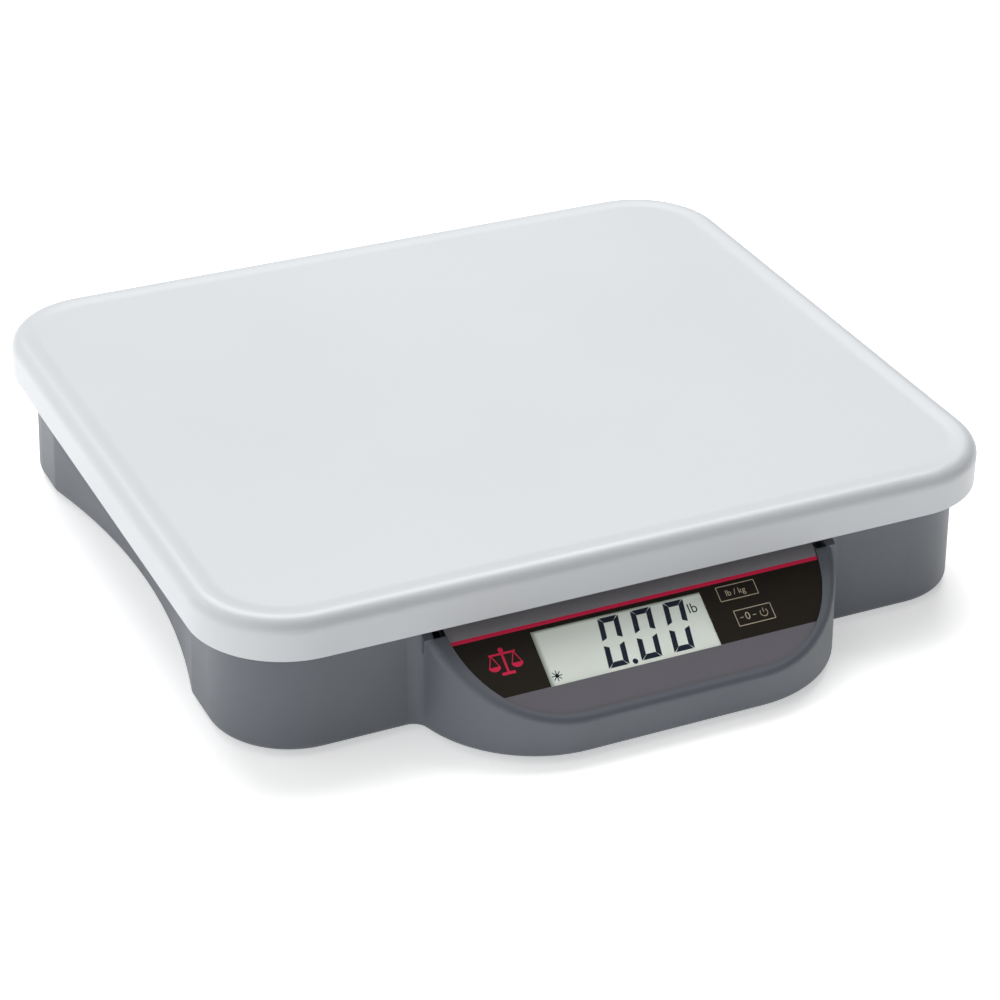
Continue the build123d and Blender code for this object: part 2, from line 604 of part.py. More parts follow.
def load_plate():
    """The cast spider: a web with a flange round it, crossed ribs, and a seat for each rubber pad."""
    web_top = LOAD_BOTTOM + LOAD_WEB
    outline = RectangleRounded(2 * LOAD_X, 2 * LOAD_Y, LOAD_CORNER)
    plate = extrude(Pos(0, 0, LOAD_BOTTOM) * outline, LOAD_TOP - LOAD_BOTTOM)
    pocket = RectangleRounded(2 * (LOAD_X - LOAD_RIB), 2 * (LOAD_Y - LOAD_RIB), LOAD_CORNER - LOAD_RIB)
    plate -= extrude(Pos(0, 0, web_top) * pocket, BIG)
    angle = math.degrees(math.atan2(LOAD_Y - PAD_INSET, LOAD_X - PAD_INSET))
    length = 2 * math.hypot(LOAD_X - PAD_INSET, LOAD_Y - PAD_INSET)
    for turn in (angle, -angle):
        rib = Box(length, LOAD_RIB, LOAD_TOP - web_top)
        plate += Pos(0, 0, (web_top + LOAD_TOP) / 2) * Rot(0, 0, turn) * rib
    for x, y in pad_places():
        plate += post(x, y, LOAD_BOTTOM, LOAD_TOP, PAD_R + 1)
    plate -= block((CELL_LENGTH / 2 - CELL_END - 6, CELL_LENGTH / 2 + 6),
                   (-CELL_WIDTH / 2 - 4, CELL_WIDTH / 2 + 4), (web_top, LOAD_TOP + 1))
    for i in (-1, 1):
        for k in (-1, 0, 1):
            x, y = k * (LIGHTENING_R * 2 + 10), i * (LOAD_Y - LIGHTENING_R - 12)
            plate -= post(x, y, 0, BIG, LIGHTENING_R)
    for x, y in cell_screw_places(1):
        plate -= post(x, y, 0, BIG, CELL_SCREW_R + 0.2)
    return plate


def pad_places():
    """The rubber pads at the load plate's corners."""
    return [(i * (LOAD_X - PAD_INSET), j * (LOAD_Y - PAD_INSET)) for i, j in CORNERS]


def overload_stops():
    """Studs that the load plate meets when too much is put on the scale."""
    studs = [post(x, y, FLOOR_TOP + 3, LOAD_BOTTOM - STOP_GAP, STOP_R) for x, y in stop_places()]
    nuts = []
    for x, y in stop_places():
        hexagon = RegularPolygon(STOP_NUT_AF / 2, 6, major_radius=False) - Circle(STOP_R)
        nuts.append(extrude(Pos(x, y, STOP_BOSS_TOP) * hexagon, STOP_NUT))
    return studs, nuts


# ---------------------------------------------------------------- platform cover
def dish():
    """The shallow hollow in the platform's top, with a soft S-shaped slope at its edge."""
    sections = []
    for i in range(7):
        t = i / 6
        drop = DISH_DEPTH * (1 - math.cos(math.pi * t)) / 2
        inset = DISH_RIM + DISH_SLOPE * t
        sketch = RectangleRounded(PLATFORM_WIDTH - 2 * inset, PLATFORM_DEPTH - 2 * inset,
                                  PLATFORM_CORNER - inset)
        sections.append(Pos(0, 0, OVERALL_HEIGHT - drop) * sketch)
    return loft(sections, ruled=True)


def platform_cover():
    """The moulded top: rounded edge, skirt, dished surface, ribs and pad sockets underneath."""
    outline = RectangleRounded(PLATFORM_WIDTH, PLATFORM_DEPTH, PLATFORM_CORNER)
    body = extrude(Pos(0, 0, SKIRT_BOTTOM) * outline, SKIRT_HEIGHT)
    body = fillet(body.faces().sort_by(Axis.Z)[-1].edges(), COVER_EDGE_FILLET)
    inner = RectangleRounded(PLATFORM_WIDTH - 2 * COVER_WALL, PLATFORM_DEPTH - 2 * COVER_WALL,
                             PLATFORM_CORNER - COVER_WALL)
    room = extrude(Pos(0, 0, 0) * inner, COVER_UNDER)
    room = fillet(room.faces().sort_by(Axis.Z)[-1].edges(), COVER_EDGE_FILLET - 1.5)
    body = body - room - dish()
    low = COVER_UNDER - COVER_RIB_DROP
    reach_x = PLATFORM_WIDTH / 2 - 2 * COVER_WALL
    reach_y = PLATFORM_DEPTH / 2 - 2 * COVER_WALL
    height = (low, COVER_UNDER + 0.5)
    for y in (-LOAD_Y / 2, 0, LOAD_Y / 2):
        body += block((-reach_x, reach_x), (y - COVER_RIB / 2, y + COVER_RIB / 2), height)
    for x in (-LOAD_X / 2, 0, LOAD_X / 2):
        body += block((x - COVER_RIB / 2, x + COVER_RIB / 2), (-reach_y, reach_y), height)
    bore = PAD_R + PAD_SOCKET_CLEARANCE
    for x, y in pad_places():
        body += post(x, y, COVER_UNDER - PAD_SOCKET_DROP, COVER_UNDER + 0.5, bore + PAD_SOCKET_WALL)
        body -= post(x, y, COVER_UNDER - PAD_SOCKET_DROP, COVER_UNDER, bore)
    return body


# ---------------------------------------------------------------- batteries, door, inlet, feet
def battery_rows():
    """The Y of each row of cells."""
    first = BATTERY_FRONT + BATTERY_SIDE_GAP + CELL_C_R
    return (first, first + 2 * CELL_C_R + CELL_C_GAP)


def battery_cell(x, y, facing):
    """One C cell lying along X, with its raised cap towards facing."""
    body = Cylinder(CELL_C_R, CELL_C_LENGTH - CELL_CAP)
    body = fillet(body.edges().filter_by(GeomType.CIRCLE), CELL_EDGE)
    cap = Pos(0, 0, CELL_C_LENGTH / 2 - 0.05) * Cylinder(CELL_CAP_R, CELL_CAP + 0.1)
    cell = Pos(0, 0, -CELL_CAP / 2) * (body + cap)
    return Pos(x, y, BATTERY_Z) * Rot(0, 90 * facing, 0) * cell


def batteries():
    """Four C cells in two rows, the rows facing opposite ways."""
    return [battery_cell(i * CELL_C_LENGTH / 2, y, facing)
            for y, facing in zip(battery_rows(), (1, -1)) for i in (-1, 1)]


def battery_terminals():
    """The tinned plates at both ends of the compartment."""
    plates = []
    for side in (-1, 1):
        wall = side * BATTERY_HALF_X
        span = sorted((wall, wall - side * TERMINAL_THICK))
        for y in battery_rows():
            plates.append(block(span, (y - TERMINAL_HALF, y + TERMINAL_HALF),
                                (BATTERY_Z - TERMINAL_HALF, BATTERY_Z + TERMINAL_HALF)))
    return plates


def battery_springs():
    """The coil on the terminal at each row's flat end."""
    springs = []
    for y, facing in zip(battery_rows(), (1, -1)):
        start = -facing * (BATTERY_HALF_X - TERMINAL_THICK - SPRING_WIRE_R)
        length = BATTERY_END_GAP - TERMINAL_THICK - 2 * SPRING_WIRE_R
        path = Helix(length / SPRING_TURNS, length, SPRING_R)
        wire = sweep(Plane(origin=path @ 0, z_dir=path % 0) * Circle(SPRING_WIRE_R), path, is_frenet=True)
        springs.append(Pos(start, y, BATTERY_Z) * Rot(0, 90 * facing, 0) * wire)
    return springs


def row_contacts():
    """The solid stud on the terminal at each row's raised-cap end."""
    studs = []
    for y, facing in zip(battery_rows(), (1, -1)):
        outer = facing * (BATTERY_HALF_X - TERMINAL_THICK)
        span = sorted((outer, facing * CELL_C_LENGTH))
        studs.append(block(span, (y - CONTACT_HALF, y + CONTACT_HALF),
                           (BATTERY_Z - CONTACT_HALF, BATTERY_Z + CONTACT_HALF)))
    return studs


def battery_door():
    """The flush door: its rear edge is a knuckle each side of the housing's lug."""
    half = BATTERY_HALF_X - DOOR_GAP
    rear = HINGE_Y + math.sqrt(DOOR_KNUCKLE_R**2 - (HINGE_Z - FOOT_DROP) ** 2)
    door = block((-half, half), (BATTERY_FRONT + DOOR_GAP, rear), (FOOT_DROP, FLOOR_TOP))
    inner = DOOR_LUG / 2 + DOOR_SIDE_GAP
    door -= block((-inner, inner), (HINGE_Y - DOOR_KNUCKLE_R - 2 * DOOR_SIDE_GAP, BIG), (0, BIG))
    for side in (-1, 1):
        middle = side * (inner + DOOR_KNUCKLE / 2)
        door += Pos(middle, HINGE_Y, HINGE_Z) * Rot(0, 90, 0) * Cylinder(DOOR_KNUCKLE_R, DOOR_KNUCKLE)
        bore = Cylinder(DOOR_PIN_R + DOOR_PIN_GAP, DOOR_KNUCKLE)
        door -= Pos(middle, HINGE_Y, HINGE_Z) * Rot(0, 90, 0) * bore
    for i in range(DOOR_GRIPS):
        y = BATTERY_FRONT + GRIP_INSET + GRIP_PITCH * i
        door -= block((-GRIP_HALF_LENGTH, GRIP_HALF_LENGTH), (y - GRIP_HALF_WIDTH, y + GRIP_HALF_WIDTH),
                      (0, FOOT_DROP + GRIP_DEPTH))
    return door


def door_pin():
    """The steel pin through the knuckles and the lug."""
    length = DOOR_LUG + 2 * DOOR_KNUCKLE
    return Pos(0, HINGE_Y, HINGE_Z) * Rot(0, 90, 0) * Cylinder(DOOR_PIN_R, length)


def jack_face():
    """Y of the inlet body's face, against the inside of the rear wall at the inlet's height."""
    lean = math.tan(math.radians(BASE_DRAFT)) * (JACK_Z + JACK_BODY[2] / 2 - FOOT_DROP)
    return BASE_BACK - BASE_WALL - lean - 0.1


def power_inlet():
    """The adapter inlet: a block behind the rear wall with a round nose, a bore and a centre pin."""
    width, depth, height = JACK_BODY
    face = jack_face()
    body = block((JACK_X - width / 2, JACK_X + width / 2), (face - depth, face),
                 (JACK_Z - height / 2, JACK_Z + height / 2))
    mouth = face + BASE_WALL + 0.2
    turn = Rot(90, 0, 0)
    body += Pos(JACK_X, (face - 1 + mouth) / 2, JACK_Z) * turn * Cylinder(JACK_NOSE_R, mouth - face + 1)
    body -= Pos(JACK_X, mouth - JACK_BORE / 2, JACK_Z) * turn * Cylinder(JACK_BORE_R, JACK_BORE)
    pin_tip = mouth - 1.5
    pin_root = mouth - JACK_BORE - 2
    pin = Pos(JACK_X, (pin_tip + pin_root) / 2, JACK_Z) * turn * Cylinder(JACK_PIN_R, pin_tip - pin_root)
    return body - pin, pin


def foot(x, y):
    """A rubber foot: a round pad with a barbed stem through the floor."""
    pad = post(x, y, 0, FOOT_DROP, FOOT_R)
    pad = fillet(pad.faces().sort_by(Axis.Z)[0].edges(), FOOT_EDGE)
    pad += post(x, y, FOOT_DROP - 0.1, FLOOR_TOP + 1.5, FOOT_STEM_R)
    return pad + post(x, y, FLOOR_TOP, FLOOR_TOP + 1.2, FOOT_STEM_R + FOOT_BARB)


# ---------------------------------------------------------------- leads
def lead(points, radius):
    """A round lead along straight runs joined by arcs as large as the runs allow."""
    vectors = [Vector(*p) for p in points]
    runs = [(b - a).length for a, b in zip(vectors, vectors[1:])]
    radii = []
    for i in range(1, len(vectors) - 1):
        turn = (vectors[i] - vectors[i - 1]).get_angle(vectors[i + 1] - vectors[i])
        radii.append(0.45 * min(runs[i - 1], runs[i]) / math.tan(math.radians(turn) / 2))
    print("lead bend radii:", [round(r, 1) for r in radii])
    path = FilletPolyline(*vectors, radius=radii)
    return sweep(Plane(origin=path @ 0, z_dir=path % 0) * Circle(radius), path)


def plug_point(x, out=0.0):
    """Where a lead leaves its plug behind the board, or that far straight out of it."""
    local = PANEL.location * Pos(x, -PLUG_S, -(BOARD_UNDER + PLUG_HEIGHT + out))
    return (local.position.X, local.position.Y, local.position.Z)


def leads():
    """Load-cell cable, battery lead and inlet lead, each from its part to its plug."""
    low = FLOOR_TOP + 6
    over = PLATE_TOP + 5
    x = PLUG_X[0]
    cell_end = -CELL_LENGTH / 2
    cell_z = (CELL_BOTTOM + CELL_TOP) / 2
    save("load_cell_cable", lead([(cell_end, 0, cell_z), (cell_end - 12, 0, cell_z),
                                  (cell_end - 22, -14, over + 5), (cell_end - 25, -42, low + 3),
                                  (cell_end - 17, -74, low), (x - 24, -100, low), (x - 6, -115, low + 1),
                                  plug_point(x, 10), plug_point(x)], LEAD_R))
    x = PLUG_X[1]
    side = BATTERY_HALF_X + BATTERY_WALL
    row = battery_rows()[0]
    save("battery_lead", lead([(side, row, over), (side + 12, row, over), (side + 21, row - 15, over),
                               (side + 24, 6, over), (side + 21, -32, over), (side + 18, -66, low),
                               (side + 4, -94, low), (x + 4, -113, low), plug_point(x, 10), plug_point(x)],
                              THIN_LEAD_R))
    x = PLUG_X[2]
    tail = jack_face() - JACK_BODY[1]
    stop_x = stop_places()[1][0]
    save("inlet_lead", lead([(JACK_X, tail, JACK_Z), (JACK_X, tail - 14, JACK_Z),
                             (stop_x + 10, tail - 28, JACK_Z - 6), (stop_x + 18, tail - 62, low),
                             (stop_x + 21, 5, low), (stop_x + 18, -45, low), (stop_x + 12, -88, low),
                             (stop_x - 7, -112, low), (x + 14, -114, low), plug_point(x, 10), plug_point(x)],
                            THIN_LEAD_R))


# ---------------------------------------------------------------- write every node
save("base_housing", base_housing())
save("platform_cover", platform_cover())
save("panel_film", panel_film())
save("panel_bezel", bezel())
display_stack()
save("main_board", main_board())
board_parts()
keys()
save("board_screws", *[screw(x, s, BOARD_UNDER, BEZEL_UNDER + 1.5) for x, s in BOARD_HOLES])
lug_under = BEZEL_UNDER + LUG_DROP + LUG_THICK
save("bezel_screws", *[screw(x, s, lug_under, BEZEL_UNDER + 0.5) for x, s in BEZEL_LUGS])
save("base_plate", base_plate())
save("lower_spacer", spacer(-1, PLATE_TOP, CELL_BOTTOM))
save("load_cell", load_cell())
save("strain_gauges", *strain_gauges())
save("upper_spacer", spacer(1, CELL_TOP, LOAD_BOTTOM))
save("load_plate", load_plate())
save("fixed_end_screws", *cap_screws(cell_screw_places(-1), PLATE_BOTTOM, CELL_BOTTOM + CELL_BITE - 1, -1,
                                     CELL_SCREW_R, CELL_HEAD_R, CELL_HEAD))
save("live_end_screws", *cap_screws(cell_screw_places(1), LOAD_BOTTOM + LOAD_WEB,
                                    CELL_TOP - CELL_BITE + 1, 1, CELL_SCREW_R, CELL_HEAD_R, CELL_HEAD))
plate_places = [(i * PLATE_SCREW_X, j * PLATE_SCREW_Y) for i, j in CORNERS]
save("base_plate_screws", *cap_screws(plate_places, PLATE_TOP, FLOOR_TOP + 0.5, 1,
                                      PLATE_SCREW_R, PLATE_HEAD_R, PLATE_HEAD))
stop_studs, stop_nuts = overload_stops()
save("overload_stops", *stop_studs)
save("stop_locknuts", *stop_nuts)
for index, (pad_x, pad_y) in enumerate(pad_places()):
    save(f"platform_pad_{index + 1}", post(pad_x, pad_y, LOAD_TOP, COVER_UNDER, PAD_R))
for index, (foot_x, foot_y) in enumerate(foot_places()):
    save(f"rubber_foot_{index + 1}", foot(foot_x, foot_y))
for index, cell in enumerate(batteries()):
    save(f"c_cell_{index + 1}", cell)
save("battery_terminals", *battery_terminals())
save("battery_springs", *battery_springs())
save("row_contacts", *row_contacts())
save("battery_door", battery_door())
save("door_pin", door_pin())
inlet_body, inlet_pin = power_inlet()
save("power_inlet", inlet_body)
save("inlet_pin", inlet_pin)
leads()
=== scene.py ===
import math

import bmesh
import bpy
from mathutils import Matrix, Vector


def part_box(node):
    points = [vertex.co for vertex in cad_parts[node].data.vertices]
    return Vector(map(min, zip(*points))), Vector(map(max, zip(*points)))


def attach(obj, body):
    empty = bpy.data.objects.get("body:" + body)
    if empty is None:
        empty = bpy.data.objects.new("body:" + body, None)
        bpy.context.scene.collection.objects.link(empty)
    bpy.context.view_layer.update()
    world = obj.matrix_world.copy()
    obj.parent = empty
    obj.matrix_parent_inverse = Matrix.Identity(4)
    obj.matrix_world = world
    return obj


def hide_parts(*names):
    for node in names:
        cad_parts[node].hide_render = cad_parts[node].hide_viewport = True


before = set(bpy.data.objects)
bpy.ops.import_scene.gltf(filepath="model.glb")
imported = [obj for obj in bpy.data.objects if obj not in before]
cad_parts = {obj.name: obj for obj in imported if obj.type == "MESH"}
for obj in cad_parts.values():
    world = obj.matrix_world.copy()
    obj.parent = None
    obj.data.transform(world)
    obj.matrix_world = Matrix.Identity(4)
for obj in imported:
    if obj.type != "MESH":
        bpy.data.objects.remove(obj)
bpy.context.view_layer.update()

scene = bpy.context.scene
MM = 0.001

# ------------------------------------------------------------------ camera
# A long lens, looking down 30 degrees on the scale from its front left. Its place is held from the
# middle of the weighing surface, so it stays put if the base changes.
cover_low, cover_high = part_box("platform_cover")
CAMERA_FROM_TOP = Vector((-0.445565, -0.953046, 0.553121))
PITCH, YAW, ROLL = 0.523605, 0.445240, 0.017903  # radians
forward = Vector((math.sin(YAW) * math.cos(PITCH), math.cos(YAW) * math.cos(PITCH), -math.sin(PITCH)))
level_right = Vector((math.cos(YAW), -math.sin(YAW), 0))
level_up = level_right.cross(forward)
right = math.cos(ROLL) * level_right + math.sin(ROLL) * level_up
up = math.cos(ROLL) * level_up - math.sin(ROLL) * level_right
lens = bpy.data.cameras.new("camera")
lens.lens, lens.sensor_width = 108.05, 36
lens.clip_start, lens.clip_end = 0.05, 30
camera = bpy.data.objects.new("camera", lens)
scene.collection.objects.link(camera)
top_middle = Vector(((cover_low.x + cover_high.x) / 2, (cover_low.y + cover_high.y) / 2, cover_high.z))
camera.matrix_world = Matrix.Translation(top_middle + CAMERA_FROM_TOP) @ Matrix(
    (right, up, -forward)).transposed().to_4x4()
scene.camera = camera

# ------------------------------------------------------------------ studio: floor, world and soft lights
# A white back-lit sweep, a large bright wall on the left that models the sides, and two soft boxes, one
# high behind the scale and a weaker one overhead, for the weighing surface. The right stays dimmer.
FLOOR_HALF = 4.0
SOFT_BOXES = {
    "back_box": ((0.25, 0.9, 1.7), (1.8, 1.4), 44.0),
    "overhead_box": ((0.0, 0.0, 2.0), (2.4, 2.4), 8.0),
}
ROOM_LIGHT = 0.02
ROOM_SIDES = [((-1, 0, 0), 1.3), ((1, 0, 0), 0.08)]  # how bright the walls are, and which way they lie
FLOOR_GLOW = 0.45


def linear(hex_colour):
    """An sRGB hex colour as linear RGBA."""
    channels = [int(hex_colour[i:i + 2], 16) / 255 for i in (1, 3, 5)]
    return tuple(c / 12.92 if c <= 0.04045 else ((c + 0.055) / 1.055) ** 2.4 for c in channels) + (1.0,)


def add(tree, kind, inputs=None, **settings):
    """Adds one node: settings are its properties, inputs are values or the sockets to link from."""
    made = tree.nodes.new(kind)
    for name, value in settings.items():
        setattr(made, name, value)
    for socket, value in (inputs or {}).items():
        if isinstance(value, bpy.types.NodeSocket):
            tree.links.new(value, made.inputs[socket])
        else:
            made.inputs[socket].default_value = value
    return made


def new_finish(name):
    """An empty node material: returns it, its tree, its shader and the Object coordinates."""
    made = bpy.data.materials.new(name)
    made.use_nodes = True
    tree = made.node_tree
    tree.nodes.clear()
    shader = add(tree, "ShaderNodeBsdfPrincipled")
    add(tree, "ShaderNodeOutputMaterial", {"Surface": shader.outputs["BSDF"]})
    place = add(tree, "ShaderNodeTexCoord").outputs["Object"]
    return made, tree, shader, place


def new_piece(name, mesh, body, slot, *finishes):
    """Links a finished mesh as a piece that rides on a body."""
    piece = bpy.data.objects.new(name, mesh)
    scene.collection.objects.link(piece)
    for finish in finishes:
        mesh.materials.append(finish)
    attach(piece, body)
    return piece


def dress(finish, *names):
    """Gives CAD nodes their finish."""
    for name in names:
        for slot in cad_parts[name].material_slots:
            slot.material = finish


scene.view_settings.view_transform = "Standard"
world = bpy.data.worlds.new("studio")
world.use_nodes = True
tree = world.node_tree
look = add(tree, "ShaderNodeTexCoord").outputs["Generated"]
strength = ROOM_LIGHT
for side, extra in ROOM_SIDES:
    facing = add(tree, "ShaderNodeVectorMath", {0: look, 1: side}, operation="DOT_PRODUCT").outputs["Value"]
    facing = add(tree, "ShaderNodeMath", {0: facing, 1: 0.0}, operation="MAXIMUM").outputs["Value"]
    strength = add(tree, "ShaderNodeMath", {0: facing, 1: extra, 2: strength},
                   operation="MULTIPLY_ADD").outputs["Value"]
tree.links.new(strength, tree.nodes["Background"].inputs["Strength"])
tree.nodes["Background"].inputs["Color"].default_value = linear("#FFFFFF")
scene.world = world
for name, (place, size, power) in SOFT_BOXES.items():
    box_light = bpy.data.lights.new(name, "AREA")
    box_light.shape = "RECTANGLE"
    box_light.size, box_light.size_y = size
    box_light.energy = power
    lamp = bpy.data.objects.new(name, box_light)
    scene.collection.objects.link(lamp)
    lamp.location = place
    lamp.rotation_euler = (top_middle - Vector(place)).to_track_quat("-Z", "Y").to_euler()

floor_mesh = bpy.data.meshes.new("floor")
floor_corners = [(x * FLOOR_HALF, y * FLOOR_HALF, 0) for x, y in ((-1, -1), (1, -1), (1, 1), (-1, 1))]
floor_mesh.from_pydata(floor_corners, [], [(0, 1, 2, 3)])
floor = bpy.data.objects.new("floor", floor_mesh)
scene.collection.objects.link(floor)
sweep, tree, shader, place = new_finish("painted_studio_sweep")
shader.inputs["Base Color"].default_value = linear("#F8F8F8")
shader.inputs["Roughness"].default_value = 0.7
shader.inputs["Emission Color"].default_value = linear("#FFFFFF")
shader.inputs["Emission Strength"].default_value = FLOOR_GLOW
floor_mesh.materials.append(sweep)

# ------------------------------------------------------------------ base housing, battery door
# Injection-moulded ABS in a cool mid grey. The tool is finely spark-eroded, so the skin is satin with a
# grain of about 0.3 mm, and it polishes a little unevenly over some tens of millimetres.


def moulded_plastic(name, colour, shade, roughness, grain, relief, mottle=40 * MM):
    """Moulded plastic: a fine tool grain, and colour and gloss that drift a little over the part."""
    made, tree, shader, place = new_finish(name)
    drift = add(tree, "ShaderNodeTexNoise", {"Vector": place, "Scale": 1 / mottle, "Detail": 3.0})
    speckle = add(tree, "ShaderNodeTexNoise", {"Vector": place, "Scale": 1 / grain, "Detail": 2.0})
    tone = add(tree, "ShaderNodeMix", {"Factor": drift.outputs["Fac"]}, data_type="RGBA")
    tone.inputs["A"].default_value = linear(colour)
    tone.inputs["B"].default_value = linear(shade)
    gloss = add(tree, "ShaderNodeMapRange", {"Value": drift.outputs["Fac"], "From Min": 0.3, "From Max": 0.7,
                                             "To Min": roughness - 0.04, "To Max": roughness + 0.04})
    bump = add(tree, "ShaderNodeBump", {"Height": speckle.outputs["Fac"], "Strength": 0.35,
                                        "Distance": relief})
    tree.links.new(tone.outputs["Result"], shader.inputs["Base Color"])
    tree.links.new(gloss.outputs["Result"], shader.inputs["Roughness"])
    tree.links.new(bump.outputs["Normal"], shader.inputs["Normal"])
    shader.inputs["IOR"].default_value = 1.53
    return made


grey_abs = moulded_plastic("moulded_grey_abs", "#5A5F66", "#555A61", 0.46, 0.5 * MM, 0.02 * MM)
dress(grey_abs, "base_housing", "battery_door")

# ------------------------------------------------------------------ feet and platform pads
# Moulded nitrile rubber: matt black, with a slight bloom. The feet are pushed through the floor by
# their barbed stems, and the pads sit in sockets under the platform.
rubber = moulded_plastic("moulded_nitrile_rubber", "#1B1B1C", "#242425", 0.78, 0.8 * MM, 0.03 * MM, 12 * MM)
dress(rubber, "rubber_foot_1", "rubber_foot_2", "rubber_foot_3", "rubber_foot_4",
      "platform_pad_1", "platform_pad_2", "platform_pad_3", "platform_pad_4")

# ------------------------------------------------------------------ plated steel plates, screws and studs
# Mild steel, pressed or turned, with bright zinc plating: a cool grey metal with a faint crystalline
# mottle of a few millimetres, and fine lines left by rolling.


def plated_metal(name, colour, shade, roughness, mottle, relief=0.004 * MM):
    """A bare or plated metal whose tone and roughness vary in small patches."""
    made, tree, shader, place = new_finish(name)
    patch = add(tree, "ShaderNodeTexVoronoi", {"Vector": place, "Scale": 1 / mottle})
    haze = add(tree, "ShaderNodeTexNoise", {"Vector": place, "Scale": 3 / mottle, "Detail": 4.0})
    tone = add(tree, "ShaderNodeMix", {"Factor": haze.outputs["Fac"]}, data_type="RGBA")
    tone.inputs["A"].default_value = linear(colour)
    tone.inputs["B"].default_value = linear(shade)
    worn = add(tree, "ShaderNodeMapRange", {"Value": patch.outputs["Distance"], "From Max": 0.8,
                                            "To Min": roughness - 0.06, "To Max": roughness + 0.08})
    bump = add(tree, "ShaderNodeBump", {"Height": haze.outputs["Fac"], "Strength": 0.3, "Distance": relief})
    tree.links.new(tone.outputs["Result"], shader.inputs["Base Color"])
    tree.links.new(worn.outputs["Result"], shader.inputs["Roughness"])
    tree.links.new(bump.outputs["Normal"], shader.inputs["Normal"])
    shader.inputs["Metallic"].default_value = 1.0
    return made


zinc = plated_metal("bright_zinc_plated_steel", "#C3C7CA", "#A9AEB2", 0.32, 3 * MM)
dress(zinc, "base_plate", "lower_spacer", "upper_spacer", "fixed_end_screws", "live_end_screws",
      "base_plate_screws", "overload_stops", "stop_locknuts", "board_screws", "bezel_screws", "door_pin")

# ------------------------------------------------------------------ load cell and its gauges
# A single-point beam milled from aluminium bar and clear anodised. The foil gauges are glued over its
# thin places, under a coat of clear varnish.
anodised = plated_metal("milled_anodised_aluminium", "#C9CBCC", "#B8BABB", 0.38, 1.2 * MM)
dress(anodised, "load_cell")
foil, tree, shader, place = new_finish("constantan_foil_on_polyimide")
GRID_PITCH = 0.6 * MM  # a wave texture has a period of 2 pi / 20 at a scale of 1
grid = add(tree, "ShaderNodeTexWave", {"Vector": place, "Scale": 2 * math.pi / (20 * GRID_PITCH),
                                       "Distortion": 0.0})
tone = add(tree, "ShaderNodeMix", {"Factor": grid.outputs["Fac"]}, data_type="RGBA")
tone.inputs["A"].default_value = linear("#B4792C")
tone.inputs["B"].default_value = linear("#D9B36A")
tree.links.new(tone.outputs["Result"], shader.inputs["Base Color"])
shader.inputs["Roughness"].default_value = 0.3
dress(foil, "strain_gauges")

# ------------------------------------------------------------------ load plate
# The spider that carries the platform: pressure die-cast aluminium, left as cast, so it is dull and
# slightly pitted, with flow marks some centimetres long.
cast = plated_metal("die_cast_aluminium", "#A7A9AA", "#8E9193", 0.52, 6 * MM, 0.05 * MM)
dress(cast, "load_plate")

# ------------------------------------------------------------------ batteries, their contacts and springs
# Four C cells in printed plastic sleeves on nickel-plated cans, between tinned plates and coil springs.
tinned = plated_metal("tinned_spring_steel", "#CFCDC6", "#B9B7B0", 0.25, 2 * MM)
dress(tinned, "battery_springs", "battery_terminals", "row_contacts", "lcd_pins", "inlet_pin")
SLEEVE_BAND = 14 * MM
for index in range(1, 5):
    low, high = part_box(f"c_cell_{index}")
    middle = (low + high) / 2
    sleeve, tree, shader, place = new_finish(f"shrink_sleeve_{index}")
    along = add(tree, "ShaderNodeSeparateXYZ", {"Vector": place})
    from_end = add(tree, "ShaderNodeMath", {0: along.outputs["X"], 1: middle.x}, operation="SUBTRACT")
    band = add(tree, "ShaderNodeMath", {0: from_end.outputs["Value"], 1: SLEEVE_BAND / 2},
               operation="GREATER_THAN")
    tone = add(tree, "ShaderNodeMix", {"Factor": band.outputs["Value"]}, data_type="RGBA")
    tone.inputs["A"].default_value = linear("#22262B")
    tone.inputs["B"].default_value = linear("#B9743A")
    tree.links.new(tone.outputs["Result"], shader.inputs["Base Color"])
    shader.inputs["Roughness"].default_value = 0.28
    shader.inputs["IOR"].default_value = 1.54
    dress(sleeve, f"c_cell_{index}")

# ------------------------------------------------------------------ inlet, leads, chips, black parts
# Small black mouldings in glass-filled nylon, and leads with soft black PVC jackets.
nylon = moulded_plastic("moulded_black_nylon", "#17181A", "#1E1F21", 0.5, 0.5 * MM, 0.02 * MM, 9 * MM)
dress(nylon, "power_inlet", "scale_chips", "board_capacitors", "key_switches", "units_switch_button",
      "zero_switch_button", "lcd_carrier", "panel_bezel")
jacket = moulded_plastic("extruded_pvc_jacket", "#202123", "#292A2C", 0.42, 1.5 * MM, 0.01 * MM, 15 * MM)
dress(jacket, "load_cell_cable", "battery_lead", "inlet_lead")
milky = moulded_plastic("moulded_white_nylon", "#DDDCD3", "#D2D1C8", 0.45, 0.5 * MM, 0.01 * MM, 9 * MM)
dress(milky, "board_plugs", "backlight_plate")

# ------------------------------------------------------------------ circuit board
# Glass-fibre laminate under a green solder mask: glossy, with the copper's tracks showing through it as
# a paler, slightly raised pattern on a 2.54 mm grid.
TRACK_GRID = 2.54 * MM
masked, tree, shader, place = new_finish("solder_masked_laminate")
tracks = add(tree, "ShaderNodeTexBrick", {"Vector": place, "Scale": 1 / (8 * TRACK_GRID),
                                          "Mortar Size": 0.06, "Color1": linear("#0F4A2A"),
                                          "Color2": linear("#125533"),
                                          "Mortar": linear("#2E7D4C")})
raised = add(tree, "ShaderNodeBump", {"Height": tracks.outputs["Fac"], "Strength": 0.3,
                                      "Distance": 0.03 * MM})
tree.links.new(tracks.outputs["Color"], shader.inputs["Base Color"])
tree.links.new(raised.outputs["Normal"], shader.inputs["Normal"])
shader.inputs["Roughness"].default_value = 0.3
dress(masked, "main_board")

